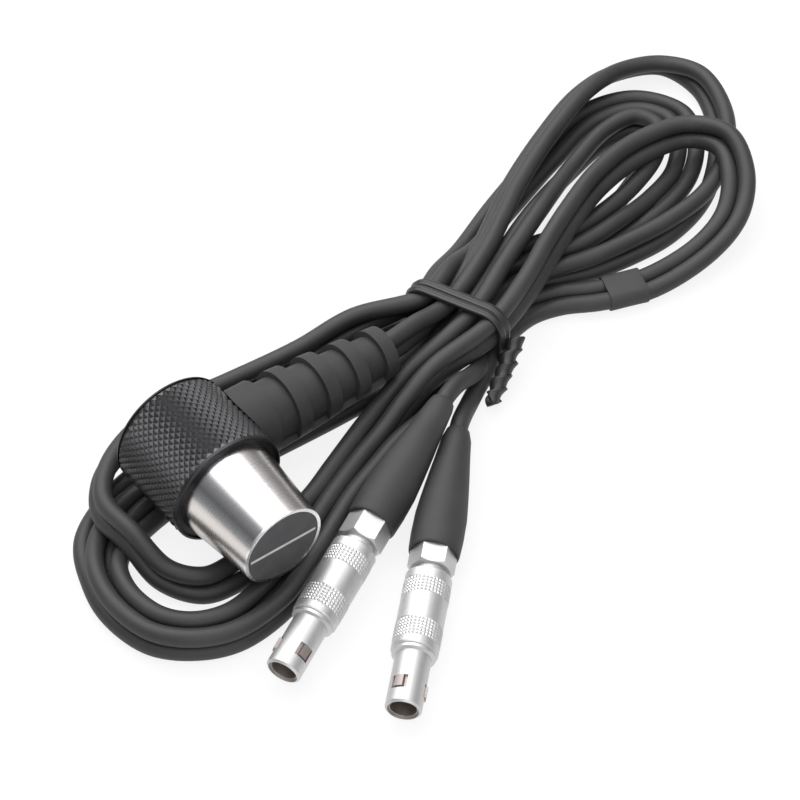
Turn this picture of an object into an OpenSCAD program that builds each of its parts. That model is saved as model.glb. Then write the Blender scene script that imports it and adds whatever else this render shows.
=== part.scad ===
// Dual-element ultrasonic thickness probe: knurled right-angle head, steel wear
// cone, ribbed rubber strain relief, bonded twin cable wound in a tied hank and
// two push-pull coaxial plugs. Millimetres, +Z up. The origin is the centre of
// the contact face and +X points out of it. Cable, tie and plugs are drawn above
// the floor under the head, from the point below the crossing of the cone's axis
// (+X) and the boot's (+Y).

/* [Head] */
// outside diameter of the knurled barrel over the knurl tips
barrel_d = 17.9; // [17.4:0.1:18.4]
// back edge of the barrel to the knurl's front end
barrel_l = 13.8; // [12:0.1:14.5]
// distance between neighbouring knurl grooves
knurl_pitch = 0.87; // [0.7:0.01:1.2]
// depth of the knurl grooves
knurl_depth = 0.32; // [0.15:0.01:0.4]
// diameter of the wear cone where it leaves the barrel
cone_d = 15; // [14:0.1:15.4]
// diameter of the contact face, rim included
face_d = 12.6; // [11.6:0.1:13.2]
// how far the wear cone stands out of the barrel's lip
cone_l = 12.3; // [9:0.1:14]
// wall of the wear cone at its rim
rim_wall = 0.48; // [0.35:0.01:0.7]
// thickness of the acoustic barrier between the two delay lines
barrier_t = 0.48; // [0.3:0.01:0.8]
// toe-in of each element towards the probe's axis, in degrees
roof_angle = 4; // [2:0.5:7]

/* [Strain relief] */
// distance from the head's axis to the boot's end face
boot_l = 33.6; // [30:0.1:37]
// diameter of the boot's base
boot_d = 11; // [10.4:0.1:11.4]
// number of free rings behind the base ring
boot_rings = 4; // [3:1:4]

/* [Cable] */
// diameter of one strand of the bonded twin cable
cord_d = 2.7; // [2.4:0.1:2.8]

/* [Plugs] */
// outside diameter of the release sleeve
sleeve_d = 6.5; // [6.3:0.1:6.7]
// outside diameter of the plug nose
nose_d = 5; // [4.9:0.02:5.1]
// length of the plug nose
nose_l = 8.2; // [7.4:0.1:8.6]
// across flats of the cable nut
nut_af = 5.7; // [5.5:0.1:6]
// travel of the release sleeve
sleeve_travel = 1; // [0.5:0.1:1]

/* [Hidden] */
$fn = 72;
// overshoot of every cut past the faces it opens, and a length past any head part
over = 1;
far = 3*barrel_d;

// running and seating clearances, all radial
run_gap = 0.05;
seat_gap = 0.02;

// head: every x is measured along the cone axis from the boot axis
barrel_r = barrel_d/2;
cord_r = cord_d/2;
axis_h = barrel_r + cord_d + 0.05;
rest_roll = 4.7;
back_x = -5.9;
knurl_x0 = back_x + 0.6;
knurl_x1 = back_x + barrel_l;
lip_x = knurl_x1 + 0.6;
lip_recess = 0.35;
face_x = lip_x + cone_l;
core_r = barrel_r - knurl_depth - 0.45;
shank_r = min(cone_d/2, core_r) - 0.2;
cavity_r = shank_r - 0.5;
cavity_x = back_x + 1.8;

// knurl lattice: whole diamonds round the barrel and along it
knurl_half = knurl_pitch/sqrt(2);
knurl_n = 2*round(PI*barrel_r/knurl_half);
knurl_m = 2*round((knurl_x1 - knurl_x0)/knurl_half/2);

// wear cone and what it holds
cone_r = cone_d/2;
face_r = face_d/2;
window_r = face_r - rim_wall;
shank_wall = 0.7;
window_x = face_x - 6.5;
element_x = face_x - 8.6;
backing_x = element_x - 5;
element_t = 0.4;
element_w = 9;
element_h = 4.4;
coil_bore_r = 0.8;
barrier_w = 10.8;
coil_r = 2.1;
coil_l = 2.6;
coil_z = 3.4;

// strain relief: rings and the grooves between them, along the boot axis
base_y = barrel_r + 2.65;
groove_w = 3.3;
ring_w = (boot_l - base_y)/boot_rings - groove_w;
groove_depth = 0.85;
function boot_y(share) = base_y + share*(boot_l - base_y);
boot_taper = [
    [0, boot_d/2], [base_y, boot_d/2], [boot_y(0.2), boot_d/2 - 0.15],
    [boot_y(0.45), boot_d/2 - 0.5], [boot_y(0.7), boot_d/2 - 1], [boot_l, boot_d/2 - 1.55]
];
spine_from = -155;
spine_to = -25;
bush_r = 3.6;
bush_y0 = barrel_r - 4.45;
bush_y1 = barrel_r + 2.05;
shank_x = bush_r + 0.3;

// plugs: x runs from the nose's end (0) back towards the cable (negative)
nose_r = nose_d/2;
sleeve_r = sleeve_d/2;
band_r = sleeve_r + 0.1;
bead_l = 0.65;
bead_x = -nose_l;
sleeve_x1 = bead_x - bead_l;
sleeve_l = 12.5;
sleeve_x0 = sleeve_x1 - sleeve_l;
neck_gap = sleeve_travel + 0.05;
nut_x1 = sleeve_x0 - neck_gap;
nut_l = 6.2;
nut_x0 = nut_x1 - nut_l;
neck_r = 2.3;
neck_bore_r = 1.6;
guide_r = nose_r + 0.25;
bead_r = guide_r + 0.25;
nose_bore_r = 2.15;
finger_bore_r = 1.825;
pin_r = 0.5;
window_l = 2;
window_w = 2.2;
window_at = -3.1;
key_l = 1.7;
finger_w = 1.2;
finger_proud = 0.22;
bands = [[-1.3, -4.2], [-8.4, -10.9]];
band_pitch = 0.42;

// each plug: [nose end x, y, z, heading, window turn, boot start, boot end, tilt]
plugs = [
    [32.4, -9.2, 3.5, -65, 73, -26, -49, 4.6],
    [46.9, -0.3, 3, -48.2, 24, -25.3, -47, 2]
];
// plug boot: radius at each distance behind its front edge
shrink_r = [[0, 3.55], [3, 3.7], [6.5, 3.65], [11.5, 3.15], [16, 2.6], [20, 2.15], [24, 1.75]];

// tie: two turns of flat wire round the hank at this station
tie_at = [-1, 47.5];
tie_turn = 20;
tie_w = [-7.7, 8.9];
tie_h = 9.9;
tie_round = 4.4;
tie_t = 0.9;
tie_band = 1.25;
tie_pitch = 1.4;
tail = [[7.7, 52.2, 4.7], [12.4, 43.8, 1.8]];
tail_w = 2.4;
tail_t = 1.2;
tail_turns = 2.5;

// split sleeve over the twin cable, where it parts into two leads
sleeve_at = [[9.2, 77, 1.7], [6.4, 69.6, 1.7]];
split_l = 6;
split_wall = 0.3;
split_gap = 0.06;

// Route of the twin cable: [x, y, z, roll] of the bond between its two strands.
// Roll 90 puts strand a straight above strand b; 0 and 180 lay the pair flat.
strand_gap = 0.02;
cord_y0 = 7;
function boot_at(y) = [0, y*cos(rest_roll), axis_h - y*sin(rest_roll)];
function at_roll(p, roll) = [p[0], p[1], p[2], roll];
route = [
    // boot and its cable
    at_roll(boot_at(cord_y0), 90), at_roll(boot_at(boot_l), 90),
    [-1, 39.5, 8.1, 95], [-2.7, 46.7, 6.9, 125],
    // first long loop on the right, on top of the fourth
    [-7, 57, 7.2, 130], [-11.5, 64.5, 6.6, 130], [-16, 71.5, 5.8, 130],
    [-21.5, 83, 5.6, 130], [-25.5, 94, 5.3, 130], [-27, 103, 3.4, 130],
    [-24.5, 110, 2.5, 125], [-18, 112, 2.75, 80], [-10.4, 109.4, 2.6, 60],
    [-3.6, 103.6, 2.6, 60], [1.6, 95.2, 2.7, 80], [3.2, 86.5, 2.7, 105],
    [2.8, 79, 2.7, 110], [1.6, 72, 2.7, 100], [-0.5, 66, 2.75, 85],
    [-2.4, 60, 2.6, 65], [-2.1, 54, 2.6, 60], [0.8, 48, 2.9, 50],
    // outer loop on the left, out past the plugs
    [2, 43.2, 1.7, 10], [6.2, 37.8, 1.8, 15], [9.5, 32.6, 2.6, 60],
    [11.3, 27, 2.75, 90], [13.15, 21.3, 2.75, 90], [14.95, 16.4, 2.75, 95],
    [17, 12, 2.75, 95], [18.9, 8.2, 2.75, 95], [20.8, 3.8, 2.75, 95],
    [23.1, -2, 2.75, 95], [23.5, -10, 2.75, 95], [21, -15.5, 2.75, 95],
    [16.5, -19.5, 2.75, 100], [9.2, -20.9, 2.7, 105], [3, -19.6, 2.65, 110],
    [-2.6, -16.2, 2.2, 145], [-6, -10.5, 1.85, 160], [-7.6, -4, 1.4, 180],
    [-7.6, 8, 1.4, 180], [-6.2, 26, 1.4, 180], [-6, 36, 1.4, 180],
    [-6.1, 45.3, 2.9, 130],
    // second loop on the right, up its inner side
    [-8.3, 53, 2.5, 125], [-8.4, 60, 2.6, 115], [-6.6, 66, 2.7, 100],
    [-4.6, 73, 2.75, 95], [-4.9, 80, 2.7, 100], [-6.9, 87.5, 2.55, 120],
    [-10, 94.6, 2.5, 125], [-13.8, 98.6, 2.6, 115], [-17, 97.6, 2.7, 100],
    [-17.8, 92, 2.75, 90], [-15, 82, 3.4, 70], [-9, 69.5, 6.6, 50],
    [-3.8, 58.5, 7.4, 50], [0.9, 48, 6.9, 50],
    // inner loop on the left, under the cone and over the outer two
    [3, 36, 4.4, 90], [3.9, 31.2, 3, 90], [5.6, 26, 2.75, 90],
    [7.6, 21, 2.75, 90], [9.4, 16.6, 2.75, 90], [11.2, 12.2, 2.75, 90],
    [12.9, 7.4, 2.7, 105], [14.2, 2, 2.25, 140], [14.5, -3.4, 2.25, 140],
    [13.7, -8.6, 2.55, 120],
    [9.5, -12.2, 3.6, 105], [3.5, -13.4, 6.9, 100], [-3.3, -13.3, 6.4, 105],
    [-9.2, -8.5, 5.8, 110], [-13.3, 2.5, 4.2, 90], [-12.6, 14, 2.9, 85],
    [-11, 26.5, 3.2, 85], [-9.8, 36, 4.6, 80], [-6.1, 45.4, 6.9, 130],
    // fourth loop on the right, flat on the floor under the first
    [-8.9, 52, 6.1, 135], [-12, 59, 3.2, 150], [-16.6, 69.5, 1.5, 175],
    [-20.8, 82, 1.4, 180], [-23.6, 93.5, 1.4, 180], [-21.2, 101.5, 1.4, 180],
    [-15.4, 104.7, 1.4, 180], [-9.8, 102.2, 1.4, 180], [-5, 96.5, 1.4, 180],
    [-2.4, 89, 1.75, 165], [-1.3, 80.5, 2.6, 115], [-1.6, 73, 2.75, 95],
    [-3.5, 66, 2.75, 85], [-5.3, 60, 2.65, 65], [-5.1, 53.5, 2.6, 60],
    [-2.4, 46.8, 2.9, 50],
    // middle loop on the left
    [-0.5, 36, 1.4, 0], [-0.7, 26, 1.4, 0], [-2, 8, 1.4, 0],
    [-2.1, -4, 1.4, 0], [-1, -9.5, 1.6, 8], [1.2, -14, 2.15, 35],
    [4.8, -17, 2.7, 70], [9.3, -18.1, 2.7, 75], [15.2, -17, 2.75, 80],
    [18.8, -13.8, 2.75, 85], [20.6, -9, 2.75, 85], [19.9, -2, 2.55, 60],
    [17.7, 4, 2.63, 68], [15.65, 8.6, 2.75, 85], [13.7, 12.6, 2.75, 90],
    [11.95, 16.8, 2.75, 90], [10.25, 21.2, 2.75, 90], [8.45, 26.8, 3, 90],
    [7.1, 32, 4.7, 90], [6, 38, 6.3, 90], [5.2, 49.6, 7, 85],
    // third loop on the right, over all the others, into the split sleeve
    [2.4, 58.5, 7.8, 75], [-1.2, 66, 8.1, 70], [-4.4, 73, 8.2, 70],
    [-7.8, 82, 7.8, 65], [-9.2, 91.5, 7.2, 60], [-7.5, 99.8, 6.8, 70],
    [-2.3, 102.3, 7.4, 50], [3.5, 100, 6.4, 25], [8, 95, 4.4, 15],
    [9.8, 88, 2.8, 10], at_roll(sleeve_at[0], 0), at_roll(sleeve_at[1], 0),
    [3.2, 64.5, 1.4, 0], [1.8, 59.5, 1.4, 0], [2.3, 54.5, 1.5, 0],
    [3.8, 49.8, 1.8, 0]
];

// leads of the two strands from the end of the route to their plugs
lead_a = [[7.2, 47.3, 1.5], [9.1, 43.8, 1.8], [11.6, 40, 3], [13.8, 36.9, 4.3]];
lead_b = [[4.3, 47.9, 2.1], [7, 45.8, 3.1], [8.9, 42.6, 5.1], [10, 39.2, 6.8]];
cord_in_nut = 1.5;

// Head parts are drawn about their own axes: cone axis +X, boot axis +Y.
module in_head() {
    translate([-face_x, 0, 0]) rotate([-rest_roll, 0, 0]) children();
}

// Everything that lies on the floor beside the head.
module on_floor() {
    translate([-face_x, 0, -axis_h]) children();
}

// Turns a profile drawn as [x along the axis, radius] about +X.
module turn_x(profile) {
    rotate([0, 90, 0]) rotate([0, 0, 90]) rotate_extrude()
        polygon([for (p = profile) [p[1], p[0]]]);
}

// The same about +Y.
module turn_y(profile) {
    rotate([-90, 0, 0]) rotate_extrude()
        polygon([for (p = profile) [p[1], p[0]]]);
}

module rod_x(x0, x1, r) {
    translate([x0, 0, 0]) rotate([0, 90, 0]) cylinder(h = x1 - x0, r = r);
}

module rod_y(y0, y1, r) {
    translate([0, y0, 0]) rotate([-90, 0, 0]) cylinder(h = y1 - y0, r = r);
}

// Side a is the upper half of the head, side b its mirror image.
module half(side) {
    if (side == 0) children();
    else mirror([0, 0, 1]) children();
}

// Barrel: the core that the knurled sleeve sits on, a rounded back and a lip.
module housing() {
    color([0.1, 0.1, 0.11]) in_head() difference() {
        turn_x([
            [back_x, 0], [back_x, barrel_r - 0.75], [back_x + 0.12, barrel_r - 0.42],
            [back_x + 0.32, barrel_r - 0.2], [knurl_x0, barrel_r - 0.1],
            [knurl_x0, core_r], [knurl_x1, core_r], [knurl_x1, barrel_r - 0.12],
            [lip_x - 0.15, barrel_r - 0.12], [lip_x, barrel_r - 0.25], [lip_x, barrel_r - 0.5],
            [lip_x - lip_recess, barrel_r - 0.6], [lip_x - lip_recess, 0]
        ]);
        rod_x(cavity_x, lip_x + over, cavity_r);
        rod_x(shank_x, lip_x + over, shank_r + seat_gap);
        rod_x(knurl_x1 + seat_gap, lip_x + over, cone_r + seat_gap);
        rod_y(0, barrel_r + over, bush_r + seat_gap);
    }
}

// Diamond knurl: a ring of four-sided pyramids. Lattice points with an even
// sum are peaks, odd ones are the crossings of the two groove families.
function knurl_pt(i, j, r) = let (a = 360*i/knurl_n)
    [knurl_x0 + seat_gap + (knurl_x1 - knurl_x0 - 2*seat_gap)*j/knurl_m, r*cos(a), r*sin(a)];
function knurl_r(i, j) = (i + j)%2 == 0 && j > 0 && j < knurl_m ? barrel_r : barrel_r - knurl_depth;

module knurl_grip() {
    n = knurl_n;
    inner_r = (core_r + seat_gap)/cos(180/n);
    points = [
        for (j = [0:knurl_m]) for (i = [0:n - 1]) knurl_pt(i, j, knurl_r(i, j)),
        for (j = [0, knurl_m]) for (i = [0:n - 1]) knurl_pt(i, j, inner_r)
    ];
    low = (knurl_m + 1)*n;
    faces = [
        for (j = [0:knurl_m - 1]) for (i = [0:n - 1])
            let (a = j*n + i, b = j*n + (i + 1)%n, c = b + n, d = a + n)
            each (i + j)%2 == 0 ? [[a, b, d], [b, c, d]] : [[a, b, c], [a, c, d]],
        for (i = [0:n - 1]) let (k = (i + 1)%n) each [
            [i, low + i, low + k], [i, low + k, k],
            [knurl_m*n + i, knurl_m*n + k, low + n + k], [knurl_m*n + i, low + n + k, low + n + i],
            [low + i, low + n + i, low + n + k], [low + i, low + n + k, low + k]
        ]
    ];
    color([0.13, 0.13, 0.14]) in_head() difference() {
        polyhedron(points = points, faces = faces);
        boot_root(seat_gap);
    }
}

// The round root of the rubber boot, where it stands in the barrel's side.
module boot_root(gap = 0) {
    rod_y(0.5, base_y - 0.5, boot_d/2 + gap);
}

// Steel wear cone with a straight shank inside the barrel.
module wear_cone() {
    color([0.8, 0.8, 0.82]) in_head() turn_x([
        [shank_x, shank_r - shank_wall], [shank_x, shank_r], [knurl_x1 + 2*seat_gap, shank_r],
        [knurl_x1 + 2*seat_gap, cone_r], [lip_x, cone_r],
        [face_x, face_r], [face_x, window_r], [window_x, window_r],
        [window_x, shank_r - 2*shank_wall], [shank_x + 1.5, shank_r - shank_wall]
    ]);
}

// Everything behind the sloping plane that the element of side a lies on.
module behind_element(offset) {
    translate([element_x - offset, 0, barrier_t/2]) rotate([0, roof_angle, 0])
        translate([-far, -far/2, -far/2]) cube(far);
}

module delay_line(side) {
    color([0.25, 0.25, 0.27]) in_head() half(side) difference() {
        rod_x(element_x - over, face_x, window_r - seat_gap);
        translate([element_x - far/2, -far/2, -far]) cube(far);
        barrier_space();
        behind_element(0);
    }
}

module barrier_space() {
    translate([backing_x - over, -barrier_w/2, -barrier_t/2])
        cube([face_x - backing_x + 2*over, barrier_w, barrier_t]);
}

module acoustic_barrier() {
    color([0.75, 0.74, 0.7]) in_head()
        translate([backing_x, -barrier_w/2, -barrier_t/2])
            cube([face_x - backing_x, barrier_w, barrier_t]);
}

// Space of one side's element and backing beside the barrier.
module crystal_space() {
    translate([backing_x, -element_w/2, barrier_t/2]) cube([far, element_w, element_h]);
}

// Piezo element, toed in by the roof angle on the back of its delay line.
module element(side) {
    color([0.8, 0.7, 0.4]) in_head() half(side) intersection() {
        rod_x(backing_x, face_x, window_r - 0.8);
        difference() {
            behind_element(0);
            behind_element(element_t);
        }
        crystal_space();
    }
}

module backing(side) {
    color([0.3, 0.28, 0.26]) in_head() half(side) intersection() {
        rod_x(backing_x, element_x + over, window_r - 0.8);
        behind_element(element_t);
        crystal_space();
    }
}

// Tuning coil of each element, wound on edge against the back of the cavity.
module coil(side) {
    color([0.55, 0.3, 0.15]) in_head() half(side) translate([0, 0, coil_z]) difference() {
        rod_x(cavity_x, cavity_x + coil_l, coil_r);
        rod_x(cavity_x - over, cavity_x + coil_l + over, coil_bore_r);
    }
}

// Bush that carries the cable through the barrel's side.
module cable_bush() {
    color([0.75, 0.6, 0.3]) in_head() difference() {
        rod_y(bush_y0, bush_y1, bush_r);
        rod_y(bush_y0 - over, bush_y1 + over, cord_d + 0.15);
    }
}

// Oval channel for the twin cable, one strand above the other.
module cable_channel(y0, y1) {
    for (z = [-cord_r - strand_gap, cord_r + strand_gap]) translate([0, 0, z]) rod_y(y0, y1, cord_r + seat_gap);
    translate([-cord_r, y0, -cord_r]) cube([cord_d, y1 - y0, cord_d]);
}

// Ribbed strain relief: tapered rubber with grooves that leave a solid spine.
module strain_relief() {
    color([0.12, 0.12, 0.12]) in_head() difference() {
        turn_y([[0.5, 0], for (p = boot_taper) [max(p[0], 0.5), p[1]], [boot_l, 0]]);
        for (k = [0:boot_rings - 1]) groove(base_y + k*(groove_w + ring_w));
        rod_x(back_x - over, lip_x + over, barrel_r + seat_gap);
        rod_y(0, bush_y1 + seat_gap, bush_r + seat_gap);
        cable_channel(bush_y1 - over, boot_l + over);
    }
}

function boot_r_at(y) = lookup(y, boot_taper);

module groove(y) {
    difference() {
        turn_y([
            [y, boot_r_at(y) - groove_depth - 0.1], [y, boot_d],
            [y + groove_w, boot_d], [y + groove_w, boot_r_at(y + groove_w) - groove_depth]
        ]);
        spine(y);
    }
}

// Wedge of the boot's underside that the grooves don't cut.
module spine(y) {
    translate([0, y - over, 0]) rotate([-90, 0, 0]) linear_extrude(groove_w + 2*over)
        polygon([
            [0, 0], for (a = [spine_from, (spine_from + spine_to)/2, spine_to])
                [far*cos(a), -far*sin(a)]
        ]);
}

// Plug parts are drawn along +X with the nose's end at the origin.
module in_plug(k) {
    p = plugs[k];
    on_floor() translate([p[0], p[1], p[2]]) rotate([0, p[7], p[3]]) rotate([p[4], 0, 0]) children();
}

module plug_body(k) {
    color([0.82, 0.83, 0.85]) in_plug(k) difference() {
        turn_x([
            [nut_x1 - 2, neck_bore_r], [nut_x1 - 2, neck_r], [sleeve_x0 - 0.3, neck_r],
            [sleeve_x0 + 0.3, guide_r], [sleeve_x1, guide_r], [sleeve_x1, bead_r],
            [bead_x - 0.2, bead_r], [bead_x, nose_r], [-0.25, nose_r],
            [0, nose_r - 0.25], [0, nose_bore_r], [bead_x - 1, nose_bore_r],
            [bead_x - 1, neck_bore_r]
        ]);
        for (a = [0, 120, 240]) rotate([a, 0, 0])
            translate([window_at - window_l/2, -window_w/2, 0.5]) cube([window_l, window_w, 4]);
    }
}

// Latch sleeve: three keys stand out of the windows in the nose.
module latch_fingers(k) {
    color([0.8, 0.81, 0.83]) in_plug(k) difference() {
        union() {
            rod_x(bead_x - 0.9, -0.35, nose_bore_r - seat_gap);
            for (a = [0, 120, 240]) rotate([a, 0, 0]) intersection() {
                rod_x(window_at - key_l/2, window_at + key_l/2, nose_r + finger_proud);
                translate([window_at - key_l/2, -finger_w/2, 1])
                    cube([key_l, finger_w, nose_r]);
            }
        }
        rod_x(bead_x - 1 - over, over, finger_bore_r);
    }
}

module insulator(k) {
    color([0.35, 0.22, 0.14]) in_plug(k) difference() {
        rod_x(bead_x - 0.9, -2.6, finger_bore_r - seat_gap);
        rod_x(bead_x - 0.9 - over, 0, pin_r + seat_gap);
    }
}

module contact(k) {
    color([0.85, 0.65, 0.25]) in_plug(k) difference() {
        rod_x(bead_x - 4, -2.1, pin_r);
        rod_x(-4.5, 0, pin_r/2);
    }
}

// Release sleeve: slides back over the body by sleeve_travel.
module release_sleeve(k) {
    bore_r = guide_r + run_gap;
    color([0.8, 0.81, 0.83]) in_plug(k) translate([sleeve_x1, 0, 0]) turn_x(concat(
        [[0, bore_r], [0, sleeve_r - 0.25], [-0.25, sleeve_r]],
        knurl_rings(bands[0]), knurl_rings(bands[1]),
        [[-sleeve_l + 0.2, sleeve_r], [-sleeve_l, sleeve_r - 0.2], [-sleeve_l, bore_r]]
    ));
}

// Saw-tooth edge of one knurled band, from its front to its back.
function knurl_rings(b) = let (n = round((b[0] - b[1])/band_pitch), s = (b[0] - b[1])/n) [
    [b[0], sleeve_r],
    for (i = [0:n - 1]) each [
        [b[0] - i*s - 0.06, sleeve_r - 0.05], [b[0] - (i + 0.3)*s, band_r], [b[0] - (i + 0.7)*s, band_r]
    ],
    [b[1], sleeve_r - 0.05], [b[1] - 0.06, sleeve_r]
];

module cable_nut(k) {
    color([0.82, 0.83, 0.85]) in_plug(k) difference() {
        union() {
            intersection() {
                translate([nut_x0 + 1.5, 0, 0]) rotate([0, 90, 0])
                    cylinder(h = nut_l - 1.5, r = nut_af/2/cos(30), $fn = 6);
                turn_x([[nut_x0 + 1.5, 0], [nut_x0 + 1.5, 4], [nut_x1 - 0.5, 3.5], [nut_x1, 2.85], [nut_x1, 0]]);
            }
            rod_x(nut_x0, nut_x0 + 1.6, nut_af/2 - 0.1);
        }
        rod_x(nut_x1 - 2, nut_x1 + over, neck_r + seat_gap);
        rod_x(nut_x0 - over, nut_x1, neck_bore_r + seat_gap);
    }
}

// Heat-shrink boot from the nut down to the single strand.
module plug_boot(k) {
    x1 = plugs[k][5];
    x0 = plugs[k][6];
    color([0.14, 0.14, 0.15]) in_plug(k) difference() {
        turn_x([
            [x0, 0], [x0, lookup(x1 - x0, shrink_r) - 0.15],
            for (i = [len(shrink_r) - 1:-1:0]) let (s = max(min(shrink_r[i][0], x1 - x0 - 0.2), 0.1))
                [x1 - s, lookup(s, shrink_r)],
            [x1, lookup(0, shrink_r) - 0.1], [x1, 0]
        ]);
        rod_x(x0 - over, x1 + over, cord_r + seat_gap);
        rod_x(nut_x0 - run_gap, x1 + over, nut_af/2/cos(30) + seat_gap);
    }
}

// Cable: a strand's place beside the bond, then a tube swept through the points.
function unit(v) = v/norm(v);
function xyz(p) = [p[0], p[1], p[2]];
function run_at(pts, i) = unit(xyz(pts[min(i + 1, len(pts) - 1)]) - xyz(pts[max(i - 1, 0)]));
function left_of(t) = unit([-t[1], t[0], 0]);
function round_axis(t, a) = cos(a)*left_of(t) + sin(a)*cross(t, left_of(t));
function strand(side) = [
    for (i = [0:len(route) - 1])
        xyz(route[i]) + side*(cord_r + strand_gap)*round_axis(run_at(route, i), route[i][3])
];
function plug_at(k, x) = let (p = plugs[k])
    xyz(p) + x*[cos(p[7])*cos(p[3]), cos(p[7])*sin(p[3]), -sin(p[7])];
function plug_end(k) = [for (x = [plugs[k][6] - 1, plugs[k][6] + 4, nut_x0 + cord_in_nut]) plug_at(k, x)];
path_a = concat(strand(1), lead_a, plug_end(1));
path_b = concat(strand(-1), lead_b, plug_end(0));

module tube(pts, r, sides) {
    n = len(pts);
    points = [for (i = [0:n - 1]) for (s = [0:sides - 1]) pts[i] + r*round_axis(run_at(pts, i), 360*s/sides)];
    faces = concat(
        [[for (s = [0:sides - 1]) s], [for (s = [sides - 1:-1:0]) (n - 1)*sides + s]],
        [for (i = [0:n - 2]) for (s = [0:sides - 1]) let (a = i*sides + s, b = i*sides + (s + 1)%sides)
            each [[a, a + sides, b], [b, a + sides, b + sides]]]
    );
    polyhedron(points = points, faces = faces);
}

module cord(path) {
    color([0.16, 0.16, 0.17]) on_floor() tube(path, cord_r, 8);
}

// Sleeve shrunk over both strands on the straight before they part.
module split_sleeve() {
    from = sleeve_at[0];
    way = sleeve_at[1] - from;
    heading = atan2(way[1], way[0]);
    color([0.2, 0.2, 0.21]) on_floor() translate(from + way/2 - unit(way)*split_l/2) rotate([0, 0, heading])
        difference() {
            union() {
                for (s = [-1, 1]) translate([0, s*(cord_r + strand_gap), 0]) rod_x(0, split_l, cord_r + split_wall);
                translate([0, -cord_r - strand_gap, -cord_r - split_wall])
                    cube([split_l, cord_d + 2*strand_gap, cord_d + 2*split_wall]);
            }
            for (s = [-1, 1]) translate([0, s*(cord_r + strand_gap), 0])
                rod_x(-over, split_l + over, cord_r + split_gap);
        }
}

// Tie: flat wire wrapped twice round the hank, its ends twisted together.
module tie_outline(gap) {
    x0 = tie_w[0] + gap;
    x1 = tie_w[1] - gap;
    y0 = gap/2;
    y1 = tie_h - gap;
    r = tie_round - gap;
    for (x = [x0 + r, x1 - r]) translate([x, y1 - r]) circle(r = r);
    translate([x0 + r, y1 - 2*r]) square([x1 - x0 - 2*r, 2*r]);
    translate([x0, y0]) square([x1 - x0, y1 - r - y0]);
}

module tie_wrap(turn) {
    color([0.22, 0.22, 0.23]) on_floor() translate([tie_at[0], tie_at[1], 0]) rotate([0, 0, tie_turn])
        translate([0, tie_pitch*turn + tie_band/2, 0]) rotate([90, 0, 0])
            linear_extrude(tie_band) difference() {
                tie_outline(0);
                tie_outline(tie_t);
            }
}

// The two ends turn about each other from the tie's side down to the floor.
module tie_tail() {
    way = tail[1] - tail[0];
    color([0.22, 0.22, 0.23]) on_floor() translate(tail[0])
        rotate([0, acos(way[2]/norm(way)), atan2(way[1], way[0])])
            linear_extrude(norm(way), twist = -360*tail_turns, slices = 40, $fn = 4)
                square([tail_w, tail_t], center = true);
}

housing();
knurl_grip();
wear_cone();
delay_line(0);  // delay_line_a
delay_line(1);  // delay_line_b
acoustic_barrier();
element(0);  // element_a
element(1);  // element_b
backing(0);  // backing_a
backing(1);  // backing_b
coil(0);  // coil_a
coil(1);  // coil_b
cable_bush();
strain_relief();
plug_body(0);  // plug_body_l
plug_body(1);  // plug_body_r
release_sleeve(0);  // release_sleeve_l
release_sleeve(1);  // release_sleeve_r
latch_fingers(0);  // latch_fingers_l
latch_fingers(1);  // latch_fingers_r
insulator(0);  // insulator_l
insulator(1);  // insulator_r
contact(0);  // contact_l
contact(1);  // contact_r
cable_nut(0);  // cable_nut_l
cable_nut(1);  // cable_nut_r
plug_boot(0);  // plug_boot_l
plug_boot(1);  // plug_boot_r
cord(path_a);  // cord_a
cord(path_b);  // cord_b
split_sleeve();
tie_wrap(-0.5);  // tie_wrap_a
tie_wrap(0.5);  // tie_wrap_b
tie_tail();
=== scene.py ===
import math

import bmesh
import bpy
from mathutils import Matrix, Vector


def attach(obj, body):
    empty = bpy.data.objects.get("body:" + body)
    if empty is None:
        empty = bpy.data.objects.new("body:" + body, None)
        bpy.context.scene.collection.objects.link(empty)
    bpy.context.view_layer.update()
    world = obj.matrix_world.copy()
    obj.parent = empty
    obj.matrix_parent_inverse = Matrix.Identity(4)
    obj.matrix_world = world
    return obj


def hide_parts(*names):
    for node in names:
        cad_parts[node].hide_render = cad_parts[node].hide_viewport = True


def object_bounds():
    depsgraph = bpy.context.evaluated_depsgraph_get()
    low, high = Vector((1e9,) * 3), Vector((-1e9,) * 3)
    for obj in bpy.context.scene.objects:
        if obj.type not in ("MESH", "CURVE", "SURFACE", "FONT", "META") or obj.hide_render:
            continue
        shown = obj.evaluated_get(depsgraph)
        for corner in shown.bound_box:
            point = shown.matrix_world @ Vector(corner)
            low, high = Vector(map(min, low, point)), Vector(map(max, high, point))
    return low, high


# Lengths are millimetres and angles degrees, from the point on the floor under
# the head, as in the part's source. at() turns a point into metres in the
# part's frame.
MM = 0.001
FACE_X = 20.8
AXIS_H = 11.7
CORD_R = 1.35
STRAND_GAP = 0.02

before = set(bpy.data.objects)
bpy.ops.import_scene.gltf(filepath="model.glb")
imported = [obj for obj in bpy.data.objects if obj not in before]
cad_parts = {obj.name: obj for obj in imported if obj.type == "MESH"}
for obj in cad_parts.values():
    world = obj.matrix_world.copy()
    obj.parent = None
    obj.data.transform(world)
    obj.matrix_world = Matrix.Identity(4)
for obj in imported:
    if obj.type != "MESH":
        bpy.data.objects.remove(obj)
start_box = [list(v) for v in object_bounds()]


def at(x, y, z):
    return Vector((x - FACE_X, y, z - AXIS_H)) * MM


def link(name, data):
    ob = bpy.data.objects.new(name, data)
    bpy.context.scene.collection.objects.link(ob)
    return ob


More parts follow.
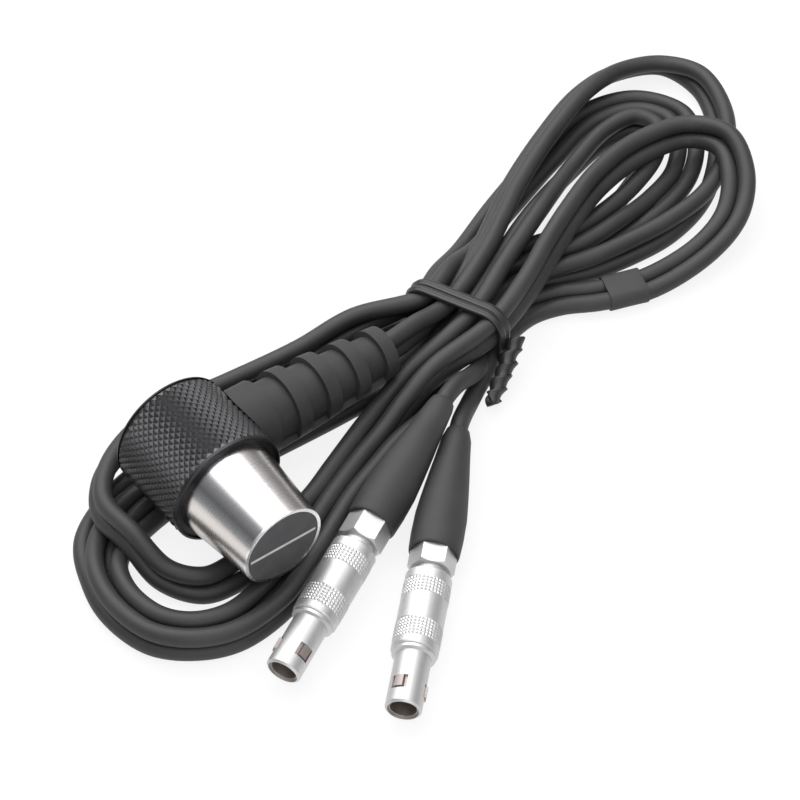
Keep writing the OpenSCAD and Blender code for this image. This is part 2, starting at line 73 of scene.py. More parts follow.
# Camera, solved from the photo
AIM = (2.76, 34.4, 0)
AZIMUTH = 51.43
ELEVATION = 49.72
DISTANCE = 403.67
SENSOR_W = 36
FOCAL_L = 124.74
CLIP_START = 10


def place_camera():
    data = bpy.data.cameras.new("camera")
    camera = link("camera", data)
    a, e = math.radians(AZIMUTH), math.radians(ELEVATION)
    away = Vector((math.sin(a) * math.cos(e), -math.cos(a) * math.cos(e), math.sin(e)))
    camera.location = at(*AIM) + away * DISTANCE * MM
    camera.rotation_euler = (-away).to_track_quat("-Z", "Y").to_euler()
    data.sensor_width = SENSOR_W
    data.lens = FOCAL_L
    data.clip_start = CLIP_START * MM
    bpy.context.scene.camera = camera


place_camera()

# The twin cable: (x, y, z, roll) of the bond between its strands
ROUTE = [
    # boot and its cable
    (0, 6.98, 11.13, 90), (0, 33.49, 8.95, 90),
    (-1, 39.5, 8.1, 95), (-2.7, 46.7, 6.9, 125),
    # first long loop on the right, on top of the fourth
    (-7, 57, 7.2, 130), (-11.5, 64.5, 6.6, 130), (-16, 71.5, 5.8, 130),
    (-21.5, 83, 5.6, 130), (-25.5, 94, 5.3, 130), (-27, 103, 3.4, 130),
    (-24.5, 110, 2.5, 125), (-18, 112, 2.75, 80), (-10.4, 109.4, 2.6, 60),
    (-3.6, 103.6, 2.6, 60), (1.6, 95.2, 2.7, 80), (3.2, 86.5, 2.7, 105),
    (2.8, 79, 2.7, 110), (1.6, 72, 2.7, 100), (-0.5, 66, 2.75, 85),
    (-2.4, 60, 2.6, 65), (-2.1, 54, 2.6, 60), (0.8, 48, 2.9, 50),
    # outer loop on the left, out past the plugs
    (2, 43.2, 1.7, 10), (6.2, 37.8, 1.8, 15), (9.5, 32.6, 2.6, 60),
    (11.3, 27, 2.75, 90), (13.15, 21.3, 2.75, 90), (14.95, 16.4, 2.75, 95),
    (17, 12, 2.75, 95), (18.9, 8.2, 2.75, 95), (20.8, 3.8, 2.75, 95),
    (23.1, -2, 2.75, 95), (23.5, -10, 2.75, 95), (21, -15.5, 2.75, 95),
    (16.5, -19.5, 2.75, 100), (9.2, -20.9, 2.7, 105), (3, -19.6, 2.65, 110),
    (-2.6, -16.2, 2.2, 145), (-6, -10.5, 1.85, 160), (-7.6, -4, 1.4, 180),
    (-7.6, 8, 1.4, 180), (-6.2, 26, 1.4, 180), (-6, 36, 1.4, 180),
    (-6.1, 45.3, 2.9, 130),
    # second loop on the right, up its inner side
    (-8.3, 53, 2.5, 125), (-8.4, 60, 2.6, 115), (-6.6, 66, 2.7, 100),
    (-4.6, 73, 2.75, 95), (-4.9, 80, 2.7, 100), (-6.9, 87.5, 2.55, 120),
    (-10, 94.6, 2.5, 125), (-13.8, 98.6, 2.6, 115), (-17, 97.6, 2.7, 100),
    (-17.8, 92, 2.75, 90), (-15, 82, 3.4, 70), (-9, 69.5, 6.6, 50),
    (-3.8, 58.5, 7.4, 50), (0.9, 48, 6.9, 50),
    # inner loop on the left, under the cone and over the outer two
    (3, 36, 4.4, 90), (3.9, 31.2, 3, 90), (5.6, 26, 2.75, 90),
    (7.6, 21, 2.75, 90), (9.4, 16.6, 2.75, 90), (11.2, 12.2, 2.75, 90),
    (12.9, 7.4, 2.7, 105), (14.2, 2, 2.25, 140), (14.5, -3.4, 2.25, 140),
    (13.7, -8.6, 2.55, 120),
    (9.5, -12.2, 3.6, 105), (3.5, -13.4, 6.9, 100), (-3.3, -13.3, 6.4, 105),
    (-9.2, -8.5, 5.8, 110), (-13.3, 2.5, 4.2, 90), (-12.6, 14, 2.9, 85),
    (-11, 26.5, 3.2, 85), (-9.8, 36, 4.6, 80), (-6.1, 45.4, 6.9, 130),
    # fourth loop on the right, flat on the floor under the first
    (-8.9, 52, 6.1, 135), (-12, 59, 3.2, 150), (-16.6, 69.5, 1.5, 175),
    (-20.8, 82, 1.4, 180), (-23.6, 93.5, 1.4, 180), (-21.2, 101.5, 1.4, 180),
    (-15.4, 104.7, 1.4, 180), (-9.8, 102.2, 1.4, 180), (-5, 96.5, 1.4, 180),
    (-2.4, 89, 1.75, 165), (-1.3, 80.5, 2.6, 115), (-1.6, 73, 2.75, 95),
    (-3.5, 66, 2.75, 85), (-5.3, 60, 2.65, 65), (-5.1, 53.5, 2.6, 60),
    (-2.4, 46.8, 2.9, 50),
    # middle loop on the left
    (-0.5, 36, 1.4, 0), (-0.7, 26, 1.4, 0), (-2, 8, 1.4, 0),
    (-2.1, -4, 1.4, 0), (-1, -9.5, 1.6, 8), (1.2, -14, 2.15, 35),
    (4.8, -17, 2.7, 70), (9.3, -18.1, 2.7, 75), (15.2, -17, 2.75, 80),
    (18.8, -13.8, 2.75, 85), (20.6, -9, 2.75, 85), (19.9, -2, 2.55, 60),
    (17.7, 4, 2.63, 68), (15.65, 8.6, 2.75, 85), (13.7, 12.6, 2.75, 90),
    (11.95, 16.8, 2.75, 90), (10.25, 21.2, 2.75, 90), (8.45, 26.8, 3, 90),
    (7.1, 32, 4.7, 90), (6, 38, 6.3, 90), (5.2, 49.6, 7, 85),
    # third loop on the right, over all the others, into the split sleeve
    (2.4, 58.5, 7.8, 75), (-1.2, 66, 8.1, 70), (-4.4, 73, 8.2, 70),
    (-7.8, 82, 7.8, 65), (-9.2, 91.5, 7.2, 60), (-7.5, 99.8, 6.8, 70),
    (-2.3, 102.3, 7.4, 50), (3.5, 100, 6.4, 25), (8, 95, 4.4, 15),
    (9.8, 88, 2.8, 10), (9.2, 77, 1.7, 0), (6.4, 69.6, 1.7, 0),
    (3.2, 64.5, 1.4, 0), (1.8, 59.5, 1.4, 0), (2.3, 54.5, 1.5, 0),
    (3.8, 49.8, 1.8, 0),
]

# The leads, where each strand leaves the other for its plug
LEAD_A = [(7.2, 47.3, 1.5), (9.1, 43.8, 1.8), (11.6, 40, 3), (13.8, 36.9, 4.3)]
LEAD_B = [(4.3, 47.9, 2.1), (7, 45.8, 3.1), (8.9, 42.6, 5.1), (10, 39.2, 6.8)]

# Plugs. nose: middle of the open end. heading and tilt: where the axis points.
# window: turn of the latch windows. boot: its front and back along the axis,
# which is 0 at the nose and negative behind it.
PLUGS = {
    "l": {
        "nose": (32.4, -9.2, 3.5), "heading": -65, "tilt": 4.6,
        "window": 73, "boot": (-26, -49),
    },
    "r": {
        "nose": (46.9, -0.3, 3), "heading": -48.2, "tilt": 2,
        "window": 24, "boot": (-25.3, -47),
    },
}
NUT_BACK = -28.6
# A strand runs straight from just behind the boot, through a second point in
# it, to its end in the nut.
BOOT_ENTRY = (-1, 4)
NUT_ENTRY = 1.5

CURVE_STEPS = 10
CURVE_SIDES = 6


def sideways(t):
    n = Vector((-t.y, t.x, 0)).normalized()
    return n, t.cross(n)


def strand(side):
    """One strand's points beside the bond; side is 1 or -1."""
    line = [Vector(p[:3]) for p in ROUTE]
    out = []
    for i, p in enumerate(line):
        t = (line[min(i + 1, len(line) - 1)] - line[max(i - 1, 0)]).normalized()
        n, b = sideways(t)
        a = math.radians(ROUTE[i][3])
        out.append(p + side * (CORD_R + STRAND_GAP) * (math.cos(a) * n + math.sin(a) * b))
    return out


def plug_matrix(side):
    plug = PLUGS[side]
    return (
        Matrix.Translation(at(*plug["nose"]))
        @ Matrix.Rotation(math.radians(plug["heading"]), 4, "Z")
        @ Matrix.Rotation(math.radians(plug["tilt"]), 4, "Y")
        @ Matrix.Rotation(math.radians(plug["window"]), 4, "X")
    )


def plug_point(side, x):
    return plug_matrix(side) @ Vector((x * MM, 0, 0))


def between(a, b, ta, tb, u):
    """The point at u on the line that is at a when u is ta, and at b when it is tb."""
    return a * ((tb - u) / (tb - ta)) + b * ((u - ta) / (tb - ta))


def smooth(points):
    """A smooth curve through the points, without loops where they lie close."""
    ends = [2 * points[0] - points[1], *points, 2 * points[-1] - points[-2]]
    out = []
    for i in range(1, len(ends) - 2):
        p = ends[i - 1 : i + 3]
        t = [0.0]
        for a, b in zip(p, p[1:]):
            t.append(t[-1] + math.sqrt((b - a).length))
        for s in range(CURVE_STEPS):
            u = t[1] + (t[2] - t[1]) * s / CURVE_STEPS
            a = [between(p[j], p[j + 1], t[j], t[j + 1], u) for j in range(3)]
            b = [between(a[j], a[j + 1], t[j], t[j + 2], u) for j in range(2)]
            out.append(between(b[0], b[1], t[1], t[2], u))
    out.append(points[-1])
    return out


def round_line(name, points, r):
    """A round tube along the points, as a curve of one open spline."""
    curve = bpy.data.curves.new(name, "CURVE")
    curve.dimensions = "3D"
    curve.bevel_depth = r
    curve.bevel_resolution = CURVE_SIDES
    curve.use_fill_caps = True
    spline = curve.splines.new("POLY")
    spline.points.add(len(points) - 1)
    for q, p in zip(spline.points, points):
        q.co = (*p, 1)
    spline.use_smooth = True
    return link(name, curve)


def cord(name, side, lead, plug):
    """A strand along the hank, then its lead, then into its plug."""
    boot_back = PLUGS[plug]["boot"][1]
    inside = [boot_back + d for d in BOOT_ENTRY] + [NUT_BACK + NUT_ENTRY]
    points = [at(*p) for p in strand(side) + lead] + [plug_point(plug, x) for x in inside]
    line = smooth(points)
    return round_line(name, line, CORD_R * MM), line


cords = {"a": cord("cable_a", 1, LEAD_A, "r"), "b": cord("cable_b", -1, LEAD_B, "l")}

# Mesh helpers
EDGE_SEGMENTS = 2
EDGE_ANGLE = 35


def mesh_of(name, verts, faces, flat=False):
    data = bpy.data.meshes.new(name)
    data.from_pydata([tuple(v) for v in verts], [], faces)
    bm = bmesh.new()
    bm.from_mesh(data)
    bmesh.ops.recalc_face_normals(bm, faces=bm.faces)
    bm.to_mesh(data)
    bm.free()
    for p in data.polygons:
        p.use_smooth = not flat
    return link(name, data)


def skin(name, rows, loop=False, caps=True, flat=False):
    """A mesh over rows of points. With loop, the last row joins the first."""
    n = len(rows[0])
    verts = [p for row in rows for p in row]
    faces = []
    for j in range(len(rows) if loop else len(rows) - 1):
        k = (j + 1) % len(rows)
        for i in range(n):
            m = (i + 1) % n
            faces.append((j * n + i, j * n + m, k * n + m, k * n + i))
    if caps and not loop:
        faces.append(tuple(range(n)))
        faces.append(tuple(range(len(verts) - n, len(verts))))
    return mesh_of(name, verts, faces, flat)


def rings(name, rows, matrix, loop=False, flat=False):
    """A skin round the X axis; rows: (x, the radius at each step round)."""
    points = []
    for x, radii in rows:
        row = []
        for i, r in enumerate(radii):
            a = 2 * math.pi * i / len(radii)
            row.append(matrix @ (Vector((x, r * math.cos(a), r * math.sin(a))) * MM))
        points.append(row)
    return skin(name, points, loop, flat=flat)


def sweep(name, centre, wide, thick, outline, loop):
    """A skin along the centres; outline: (along wide, along thick) pairs, and
    wide and thick are directions at each centre."""
    rows = [
        [c + (u * a + w * b) * MM for a, b in outline]
        for c, u, w in zip(centre, wide, thick)
    ]
    return skin(name, rows, loop)


def bevel(ob, width):
    mod = ob.modifiers.new("edges", "BEVEL")
    mod.width = width * MM
    mod.segments = EDGE_SEGMENTS
    mod.limit_method = "ANGLE"
    mod.angle_limit = math.radians(EDGE_ANGLE)


# Material helpers. Noise lies mostly within NOISE_SPAN. The Mix node has
# sockets of one name for each type of data: these are the numbers for colour.
NOISE_ROUGH = 0.55
NOISE_SPAN = (0.3, 0.7)
PATCH_SPAN = (0.35, 0.65)
MIX_A, MIX_B, MIX_OUT = 6, 7, 2
FINE_DETAIL = 3
# bumps: (strength, depth) of a polymer's patches, and depth of each fine grain
PATCH_BUMP = (0.15, 0.1)
POLYMER_GRAIN = 0.03
METAL_GRAIN = 0.02
# a metal's darker patches, and the rings that turning leaves
METAL_PATCH = 250
METAL_DARK = 0.93
RING_STREAK = (90, 1, 1)
RING_SCALE = 260
RING_BUMP = 0.02


def start(name):
    """A new material: itself, its nodes, its shader and object coordinates."""
    mat = bpy.data.materials.new(name)
    mat.use_nodes = True
    tree = mat.node_tree
    coords = tree.nodes.new("ShaderNodeTexCoord").outputs["Object"]
    return mat, tree, tree.nodes["Principled BSDF"], coords


def noise(tree, coords, scale, detail=4):
    node = tree.nodes.new("ShaderNodeTexNoise")
    node.inputs["Scale"].default_value = scale
    node.inputs["Detail"].default_value = detail
    node.inputs["Roughness"].default_value = NOISE_ROUGH
    tree.links.new(coords, node.inputs["Vector"])
    return node.outputs["Fac"]


def stretched(tree, coords, scale):
    node = tree.nodes.new("ShaderNodeMapping")
    node.inputs["Scale"].default_value = scale
    tree.links.new(coords, node.inputs["Vector"])
    return node.outputs["Vector"]


def ramp(tree, fac, stops):
    node = tree.nodes.new("ShaderNodeValToRGB")
    cr = node.color_ramp
    cr.elements[0].position, cr.elements[0].color = stops[0][0], (*stops[0][1], 1)
    cr.elements[1].position, cr.elements[1].color = stops[-1][0], (*stops[-1][1], 1)
    for pos, col in stops[1:-1]:
        cr.elements.new(pos).color = (*col, 1)
    tree.links.new(fac, node.inputs["Fac"])
    return node.outputs["Color"]


def spread(tree, fac, ends):
    """Noise turned into values from one end to the other."""
    node = tree.nodes.new("ShaderNodeMapRange")
    node.inputs["From Min"].default_value, node.inputs["From Max"].default_value = NOISE_SPAN
    node.inputs["To Min"].default_value, node.inputs["To Max"].default_value = ends
    tree.links.new(fac, node.inputs["Value"])
    return node.outputs["Result"]


def math_node(tree, operation, *values):
    """A Math node; each value is an output to link or a plain number."""
    node = tree.nodes.new("ShaderNodeMath")
    node.operation = operation
    for socket, value in zip(node.inputs, values):
        if isinstance(value, (int, float)):
            socket.default_value = value
        else:
            tree.links.new(value, socket)
    return node.outputs["Value"]


def bumps(tree, bsdf, heights):
    """Chains bump nodes; heights: (height output, strength, distance)."""
    normal = None
    for height, strength, distance in heights:
        node = tree.nodes.new("ShaderNodeBump")
        node.inputs["Strength"].default_value = strength
        node.inputs["Distance"].default_value = distance * MM
        tree.links.new(height, node.inputs["Height"])
        if normal:
            tree.links.new(normal, node.inputs["Normal"])
        normal = node.outputs["Normal"]
    tree.links.new(normal, bsdf.inputs["Normal"])


def polymer(name, dark, light, rough, patch, grain, bump, specular=0.5):
    """Cable jacket, rubber or heat-shrink: patches of tone, fine grain, soft
    sheen. patch and grain are noise scales."""
    mat, tree, bsdf, coords = start(name)
    broad = noise(tree, coords, patch)
    fine = noise(tree, coords, grain, FINE_DETAIL)
    tone = ramp(tree, broad, list(zip(PATCH_SPAN, (dark, light))))
    tree.links.new(tone, bsdf.inputs["Base Color"])
    tree.links.new(spread(tree, broad, rough), bsdf.inputs["Roughness"])
    bsdf.inputs["Specular IOR Level"].default_value = specular
    bumps(tree, bsdf, [(broad, *PATCH_BUMP), (fine, bump, POLYMER_GRAIN)])
    return mat


def metal(name, base, rough, streak=(1, 1, 1), grain=2500, bump=0.08):
    """Metal with slight patches; streak stretches its grain across an axis."""
    mat, tree, bsdf, coords = start(name)
    lines = noise(tree, stretched(tree, coords, streak), grain, FINE_DETAIL)
    patch = noise(tree, coords, METAL_PATCH)
    dark = tuple(METAL_DARK * c for c in base)
    tone = ramp(tree, patch, list(zip(NOISE_SPAN, (dark, base))))
    tree.links.new(tone, bsdf.inputs["Base Color"])
    tree.links.new(spread(tree, lines, rough), bsdf.inputs["Roughness"])
    bsdf.inputs["Metallic"].default_value = 1
    bumps(tree, bsdf, [(lines, bump, METAL_GRAIN)])
    return mat


def turned(name, bands, rim, rim_depth, rough):
    """Turned metal: fine rings round the axis, and painted reflections in its colour:
    soft bands along it, since a cone mirrors one part of a studio in each direction.
    bands: (angle, tone). rim is the tone of the flat ring round the contact face, a
    painted bright reflection."""
    mat, tree, bsdf, coords = start(name)
    split = tree.nodes.new("ShaderNodeSeparateXYZ")
    tree.links.new(coords, split.inputs["Vector"])
    angle = math_node(tree, "ARCTAN2", split.outputs["Y"], split.outputs["Z"])
    share = tree.nodes.new("ShaderNodeMapRange")
    share.inputs["From Min"].default_value = -math.pi
    share.inputs["From Max"].default_value = math.pi
    tree.links.new(angle, share.inputs["Value"])
    tone = ramp(tree, share.outputs["Result"], [(0.5 + a / 360, c) for a, c in bands])
    front = math_node(tree, "GREATER_THAN", split.outputs["X"], -rim_depth * MM)
    mix = tree.nodes.new("ShaderNodeMix")
    mix.data_type = "RGBA"
    tree.links.new(front, mix.inputs["Factor"])
    tree.links.new(tone, mix.inputs[MIX_A])
    mix.inputs[MIX_B].default_value = (*rim, 1)
    fine = noise(tree, stretched(tree, coords, RING_STREAK), RING_SCALE, FINE_DETAIL)
    tree.links.new(mix.outputs[MIX_OUT], bsdf.inputs["Base Color"])
    tree.links.new(spread(tree, fine, rough), bsdf.inputs["Roughness"])
    bsdf.inputs["Metallic"].default_value = 1
    bumps(tree, bsdf, [(fine, RING_BUMP, METAL_GRAIN)])
    return mat


def grey(v):
    """A grey a touch cooler than neutral."""
    return (v, v, v * 1.03)


def paint(ob, mat):
    if ob.data.materials:
        for i in range(len(ob.data.materials)):
            ob.data.materials[i] = mat
    else:
        ob.data.materials.append(mat)


# Polymers
CABLE = polymer(
    "cable_jacket", grey(0.026), grey(0.034), (0.48, 0.58),
    patch=120, grain=6000, bump=0.08, specular=0.4,
)
SHRINK = polymer(
    "heat_shrink", grey(0.032), grey(0.042), (0.55, 0.66),
    patch=160, grain=5000, bump=0.14, specular=0.35,
)
RUBBER = polymer(
    "boot_rubber", grey(0.024), grey(0.034), (0.6, 0.72),
    patch=200, grain=4000, bump=0.2, specular=0.4,
)
TIE = polymer(
    "tie_coating", grey(0.014), grey(0.022), (0.34, 0.44),
    patch=200, grain=5000, bump=0.1,
)
DELAY = polymer(
    "delay_line", grey(0.075), grey(0.09), (0.65, 0.75),
    patch=500, grain=7000, bump=0.1, specular=0.15,
)
BARRIER = polymer(
    "barrier", (0.5, 0.46, 0.43), (0.62, 0.58, 0.55), (0.6, 0.75),
    patch=500, grain=7000, bump=0.2,
)
# Insulator: brown, darkened further as painted shade inside the nose bore.
INSULATOR_IN_SHADE = polymer(
    "insulator", (0.022, 0.012, 0.009), (0.035, 0.02, 0.014), (0.35, 0.5),
    patch=500, grain=5000, bump=0.1,
)

# Metals
DRAWN = {"streak": (20, 1, 1), "grain": 300, "bump": 0.01}
BLACK = metal("black_barrel", grey(0.05), (0.42, 0.54), grain=4000, bump=0.15)
KNURL = metal("black_knurl", grey(0.09), (0.36, 0.48), grain=4000, bump=0.2)
# Painted reflections on the cone: lighter and darker tones by direction round its axis, and
# a near-white ring round the contact face.
REFLECTED_WARM, REFLECTED_COOL = (0.8, 0.76, 0.73), (0.84, 0.85, 0.86)
CONE_PAINTED_REFLECTIONS = [
    (-108, grey(0.12)), (-90, REFLECTED_WARM), (-60, REFLECTED_WARM), (-53, REFLECTED_COOL), (-44, grey(0.3)),
    (-30, grey(0.4)), (-19, REFLECTED_COOL), (-4, REFLECTED_COOL), (6, grey(0.5)), (20, REFLECTED_WARM),
    (44, REFLECTED_WARM), (58, grey(0.15)),
]
STEEL = turned(
    "turned_steel", CONE_PAINTED_REFLECTIONS, rim=(0.95, 0.95, 0.95), rim_depth=0.3, rough=(0.25, 0.29),
)
NICKEL = metal("nickel", (0.66, 0.66, 0.655), (0.5, 0.56), **DRAWN)
LATCH = metal("latch_spring", (0.42, 0.37, 0.35), (0.52, 0.6), **DRAWN)
GOLD = metal("contact_gold", (0.9, 0.8, 0.58), (0.2, 0.3))

# Materials of the part's solids, and the width of their rounded edges
HEAD_LOOKS = {
    "housing": BLACK, "knurl_grip": KNURL, "wear_cone": STEEL, "strain_relief": RUBBER,
    "delay_line_a": DELAY, "delay_line_b": DELAY, "acoustic_barrier": BARRIER,
    "element_a": GOLD, "element_b": GOLD, "backing_a": RUBBER, "backing_b": RUBBER,
    "coil_a": GOLD, "coil_b": GOLD, "cable_bush": GOLD,
}
PLUG_LOOKS = {
    "plug_body": NICKEL, "latch_fingers": LATCH, "insulator": INSULATOR_IN_SHADE, "contact": GOLD,
    "cable_nut": NICKEL, "release_sleeve": NICKEL, "plug_boot": SHRINK,
}
HEAD_EDGES = {"housing": 0.12, "strain_relief": 0.25, "wear_cone": 0.06}
PLUG_EDGES = {"plug_body": 0.06, "cable_nut": 0.1}

for node, mat in HEAD_LOOKS.items():
    paint(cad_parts[node], mat)
for node, width in HEAD_EDGES.items():
    bevel(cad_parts[node], width)
for side in PLUGS:
    for node, mat in PLUG_LOOKS.items():
        paint(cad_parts[f"{node}_{side}"], mat)
    for node, width in PLUG_EDGES.items():
        bevel(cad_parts[f"{node}_{side}"], width)

# Release sleeve of a plug. The places of its bands are behind its front.
SLEEVE_FRONT = -8.85
SLEEVE_L = 12.5
SLEEVE_R = 3.25
# edges of the sleeve and of a band: (distance in from the end, or out from the
# band, change in radius)
SLEEVE_FRONT_EDGE = ((0, -0.4), (0, -0.3), (0.08, -0.1), (0.3, 0))
SLEEVE_BACK_EDGE = ((0.25, 0), (0.08, -0.08), (0, -0.25), (0, -0.4))
BAND_EDGE = ((0.12, 0), (0.03, -0.02))
BANDS = ((-1.3, -4.2), (-8.4, -10.9))
CELLS = 42
GROOVE_R = SLEEVE_R - 0.05
STUD_R = SLEEVE_R + 0.06
# a stud's foot and top, either side of its middle, in shares of its cell
STUD_FOOT = 0.46
STUD_TOP = 0.16


def release_sleeve(side):
    """Sleeve with bands of small pyramids, in rows round it and lines along it."""
    n = 2 * CELLS
    cell = 2 * math.pi * SLEEVE_R / CELLS
    groove = [GROOVE_R] * n
    studs = [STUD_R if i % 2 else GROOVE_R for i in range(n)]

    def ring(x, change):
        return SLEEVE_FRONT + x, [SLEEVE_R + change] * n

    rows = [ring(-d, change) for d, change in SLEEVE_FRONT_EDGE]
    for front, back in BANDS:
        rows += [ring(front + d, change) for d, change in BAND_EDGE]
        count = round((front - back) / cell)
        step = (front - back) / count
        for j in range(count):
            x = SLEEVE_FRONT + front - step * (j + 0.5)
            rows += [
                (x + STUD_FOOT * step, groove), (x + STUD_TOP * step, studs),
                (x - STUD_TOP * step, studs), (x - STUD_FOOT * step, groove),
            ]
        rows += [ring(back - d, change) for d, change in reversed(BAND_EDGE)]
    rows += [ring(d - SLEEVE_L, change) for d, change in SLEEVE_BACK_EDGE]
    return rings(f"knurled_sleeve_{side}", rows, plug_matrix(side), loop=True, flat=True)


# Shrink boot of a plug: radius at each distance behind its front, and at each
# distance in front of its back
BOOT_SIDES = 64
BOOT_FRONT = (
    (0.4, 3), (0.05, 3.2), (0, 3.36), (0.08, 3.48), (0.25, 3.55), (0.6, 3.6), (3, 3.7),
    (6.5, 3.65), (9, 3.42), (11.5, 3.15), (14, 2.86), (16, 2.6), (18, 2.36), (20, 2.15),
    (22, 1.93),
)
BOOT_BACK = ((0.15, 1.72), (0, 1.6), (0, 1.36))
BOOT_END_L = 0.3


def shrink_boot(side):
    front, back = PLUGS[side]["boot"]
    profile = [(front - s, r) for s, r in BOOT_FRONT if s < front - back - BOOT_END_L]
    profile += [(back + s, r) for s, r in BOOT_BACK]
    rows = [(x, [r] * BOOT_SIDES) for x, r in profile]
    return rings(f"shrink_boot_{side}", rows, plug_matrix(side))


for side in PLUGS:
    sleeve = release_sleeve(side)
    paint(sleeve, NICKEL)
    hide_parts(f"release_sleeve_{side}")
    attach(sleeve, f"sleeve_{side}")
    boot = shrink_boot(side)
    paint(boot, SHRINK)
    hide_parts(f"plug_boot_{side}")
    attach(boot, "probe")

# Split sleeve on the flat pair: the two points it lies between, and its rows
# as (place along it, change in radius)
SPLIT_AT = ((9.2, 77, 1.7), (6.4, 69.6, 1.7))
SPLIT_ROWS = (
    (-3, -0.28), (-3, 0), (-2.9, 0.03), (-1, 0),
    (1, 0.01), (2.9, 0.03), (3, 0), (3, -0.28),
)
SPLIT_SIDES = 48
SPLIT_WALL = 0.3
SPLIT_PINCH = 0.16
# how sharply the outline goes from one strand to the other
SPLIT_TURN = 3


def split_sleeve():
    a, b = (Vector(p) for p in SPLIT_AT)
    way = (b - a).normalized()
    mid = (a + b) / 2
    side = Vector((-way.y, way.x, 0))
    rows = []
    for s, grow in SPLIT_ROWS:
        r = CORD_R + SPLIT_WALL + grow
        row = []
        for i in range(SPLIT_SIDES):
            t = 2 * math.pi * i / SPLIT_SIDES
            reach = min(1, abs(math.cos(t)) * SPLIT_TURN)
            lobe = math.copysign((CORD_R + STRAND_GAP) * reach, math.cos(t))
            up = (r - SPLIT_PINCH * (1 - reach)) * math.sin(t)
            across = side * (lobe + r * math.cos(t))
            row.append(at(*(mid + way * s + across + Vector((0, 0, up)))))
        rows.append(row)
    return skin("split_cover", rows, caps=False)


cover = split_sleeve()
paint(cover, SHRINK)
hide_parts("split_sleeve")
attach(cover, "probe")

# Tie: two turns of flat coated wire round the hank, and its twisted ends.
# TIE_W is its reach either side of TIE_AT, before it is turned by TIE_TURN.
TIE_AT = (-1, 47.5, 0)
TIE_TURN = 20
TIE_W = (-7.7, 8.9)
TIE_H = 10.4
TIE_T = 0.9
TIE_TOP_R = 3.5
TIE_FOOT_R = 0.5
TIE_SHIFT = 0.68
CORNER_STEPS = 12
# each turn leans a little to and fro along the hank
LEAN = 0.3
LEAN_WAVE = 4
# outline of the wire: across it, and out from its middle line
WIRE = [
    (-0.68, -0.28), (-0.72, -0.05), (-0.66, 0.2), (-0.5, 0.3), (-0.3, 0.27),
    (-0.16, 0.4), (0.0, 0.46), (0.16, 0.4), (0.3, 0.27), (0.5, 0.3), (0.66, 0.2),
    (0.72, -0.05), (0.68, -0.28), (0.3, -0.4), (-0.3, -0.4),
]

# The twisted ends, from the hank to the floor, and the wire's outline there,
# with one edge lifted
TAIL = ((7.7, 52.2, 4.7), (12.4, 43.8, 1.8))
TAIL_TURNS = 2.3
TAIL_STEPS = 120
TAIL_TWIST_R = 0.62
TAIL_R = 0.8
TAIL_SLACK = 0.12
TAIL_SLACK_WAVE = 1.3
TAIL_WIRE = [
    (-1.1, -0.35), (-1.15, -0.1), (-0.6, 0.12), (0.2, 0.3),
    (0.85, 0.42), (1.1, 0.36), (1.12, 0.1), (0.4, -0.1),
]


def tie_line():
    """The tie's middle line: (across, up, angle of the outward direction)."""
    g = TIE_T / 2
    left, right, low, high = TIE_W[0] + g, TIE_W[1] - g, g, TIE_H - g
    top, foot = TIE_TOP_R - g, TIE_FOOT_R
    corners = (
        (right - top, high - top, top, 0), (left + top, high - top, top, 90),
        (left + foot, low + foot, foot, 180), (right - foot, low + foot, foot, 270),
    )
    out = []
    for x, y, r, first in corners:
        for s in range(CORNER_STEPS + 1):
            a = math.radians(first + 90 * s / CORNER_STEPS)
            out.append((x + r * math.cos(a), y + r * math.sin(a), a))
    return out


def tie_wrap(name, shift, phase):
    """One turn of the wire, shifted along the hank."""
    a = math.radians(TIE_TURN)
    across = Vector((math.cos(a), math.sin(a), 0))
    along = Vector((-math.sin(a), math.cos(a), 0))
    up = Vector((0, 0, 1))
    centre, wide, thick = [], [], []
    for x, y, out in tie_line():
        lean = LEAN * math.sin(x / LEAN_WAVE + phase)
        centre.append(at(*(Vector(TIE_AT) + across * x + along * (shift + lean) + up * y)))
        wide.append(along)
        thick.append(across * math.cos(out) + up * math.sin(out))
    return sweep(name, centre, wide, thick, WIRE, loop=True)


def tie_tail(name, phase):
    """One of the two ends, wound about the other as a broad ribbon."""
    a, b = Vector(TAIL[0]), Vector(TAIL[1])
    way = (b - a).normalized()
    n, m = sideways(way)
    pitch = (b - a).length / TAIL_TURNS
    centre, wide, thick = [], [], []
    for i in range(TAIL_STEPS + 1):
        t = 2 * math.pi * TAIL_TURNS * i / TAIL_STEPS + phase
        out = n * math.cos(t) + m * math.sin(t)
        turn = -n * math.sin(t) + m * math.cos(t)
        run = (way * pitch + turn * 2 * math.pi * TAIL_TWIST_R).normalized()
        r = TAIL_R + TAIL_SLACK * math.sin(TAIL_SLACK_WAVE * t + phase)
        centre.append(at(*(a + (b - a) * i / TAIL_STEPS + out * r)))
        wide.append(run.cross(out))
        thick.append(out)
    return sweep(name, centre, wide, thick, TAIL_WIRE, loop=False)


for key, shift, phase in (("a", -TIE_SHIFT, 0), ("b", TIE_SHIFT, 0.5)):
    wrap = tie_wrap(f"tie_turn_{key}", shift, phase)
    paint(wrap, TIE)
    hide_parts(f"tie_wrap_{key}")
    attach(wrap, "probe")
tails = [tie_tail("tie_end_a", 0), tie_tail("tie_end_b", math.pi)]
for tail in tails:
    paint(tail, TIE)
    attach(tail, "probe")
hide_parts("tie_tail")

# The two strands, each running into its plug, in place of the part's cords
for key, side in (("a", "r"), ("b", "l")):
    ob, line = cords[key]
    paint(ob, CABLE)
    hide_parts(f"cord_{key}")
    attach(ob, "probe")

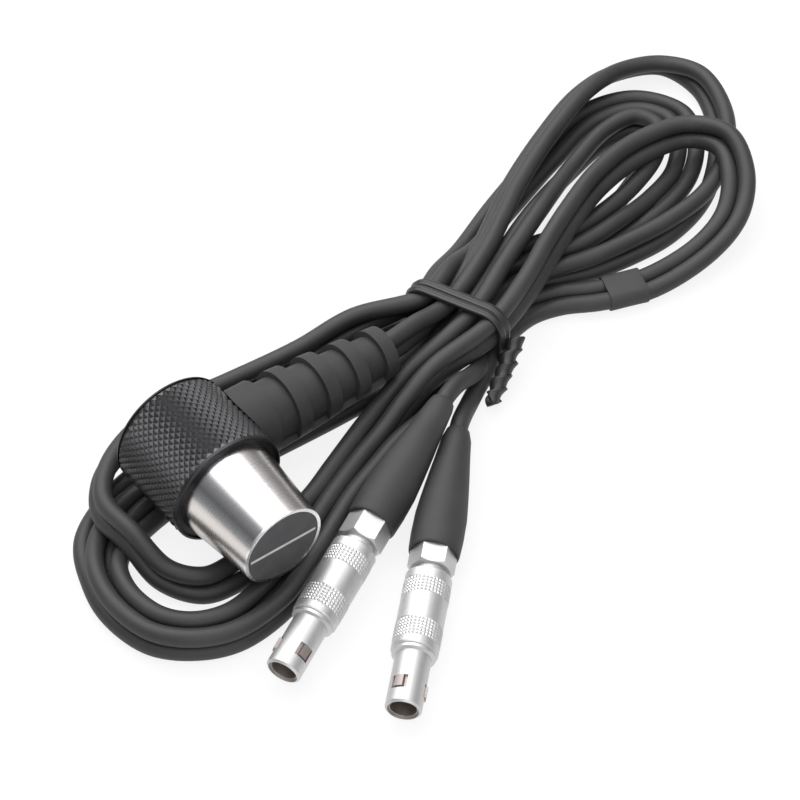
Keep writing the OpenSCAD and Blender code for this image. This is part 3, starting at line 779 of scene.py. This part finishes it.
# Floor, lamps and world. The camera sees the floor as white, and GLOW is the
# share of it that no shadow darkens. Lamps: place, size and power.
FLOOR_HALF = 2000
FLOOR_TONE = 0.8
GLOW = 0.85
LAMP_AIM = (0, 30, 0)
LAMPS = {
    "key": ((-420, 120, 480), (800, 700), 5),
    "fill": ((480, -260, 260), (400, 400), 1),
    "top": ((60, 40, 700), (800, 800), 3.4),
}
SKY = [(0, grey(0.1)), (0.25, grey(0.2)), (0.6, grey(0.45)), (1, grey(0.6))]


def white_stage():
    """White to the camera and in reflections, with a faint shadow, and a plain
    pale card for other light."""
    mat = bpy.data.materials.new("stage")
    mat.use_nodes = True
    tree = mat.node_tree
    tree.nodes.clear()
    out = tree.nodes.new("ShaderNodeOutputMaterial")
    mix = tree.nodes.new("ShaderNodeMixShader")
    diffuse = tree.nodes.new("ShaderNodeBsdfDiffuse")
    diffuse.inputs["Color"].default_value = (FLOOR_TONE, FLOOR_TONE, FLOOR_TONE, 1)
    glow = tree.nodes.new("ShaderNodeEmission")
    glow.inputs["Color"].default_value = (1, 1, 1, 1)
    glow.inputs["Strength"].default_value = 1
    path = tree.nodes.new("ShaderNodeLightPath")
    seen = math_node(tree, "MULTIPLY", path.outputs["Is Camera Ray"], GLOW)
    for kind in ("Is Glossy Ray", "Is Transmission Ray"):
        seen = math_node(tree, "MAXIMUM", seen, path.outputs[kind])
    tree.links.new(seen, mix.inputs["Fac"])
    tree.links.new(diffuse.outputs["BSDF"], mix.inputs[1])
    tree.links.new(glow.outputs["Emission"], mix.inputs[2])
    tree.links.new(mix.outputs["Shader"], out.inputs["Surface"])
    return mat


def place_floor():
    s = FLOOR_HALF * MM
    z = start_box[0][2]
    corners = [(-s, -s, z), (s, -s, z), (s, s, z), (-s, s, z)]
    ob = mesh_of("floor", corners, [(0, 1, 2, 3)], flat=True)
    paint(ob, white_stage())


def place_lamp(name, place, size, power):
    data = bpy.data.lights.new(name, "AREA")
    data.shape = "RECTANGLE"
    data.size, data.size_y = (s * MM for s in size)
    data.energy = power
    ob = link(name, data)
    ob.location = at(*place)
    ob.rotation_euler = (at(*LAMP_AIM) - ob.location).to_track_quat("-Z", "Y").to_euler()


def place_world():
    """A plain studio, paler above than below."""
    world = bpy.data.worlds.new("studio")
    bpy.context.scene.world = world
    world.use_nodes = True
    tree = world.node_tree
    sky = tree.nodes["Background"]
    sky.inputs["Strength"].default_value = 1
    coords = tree.nodes.new("ShaderNodeTexCoord").outputs["Generated"]
    split = tree.nodes.new("ShaderNodeSeparateXYZ")
    tree.links.new(coords, split.inputs["Vector"])
    tree.links.new(ramp(tree, split.outputs["Z"], SKY), sky.inputs["Color"])


place_floor()
for name, lamp in LAMPS.items():
    place_lamp(name, *lamp)
place_world()

bpy.context.scene.view_settings.view_transform = "Standard"
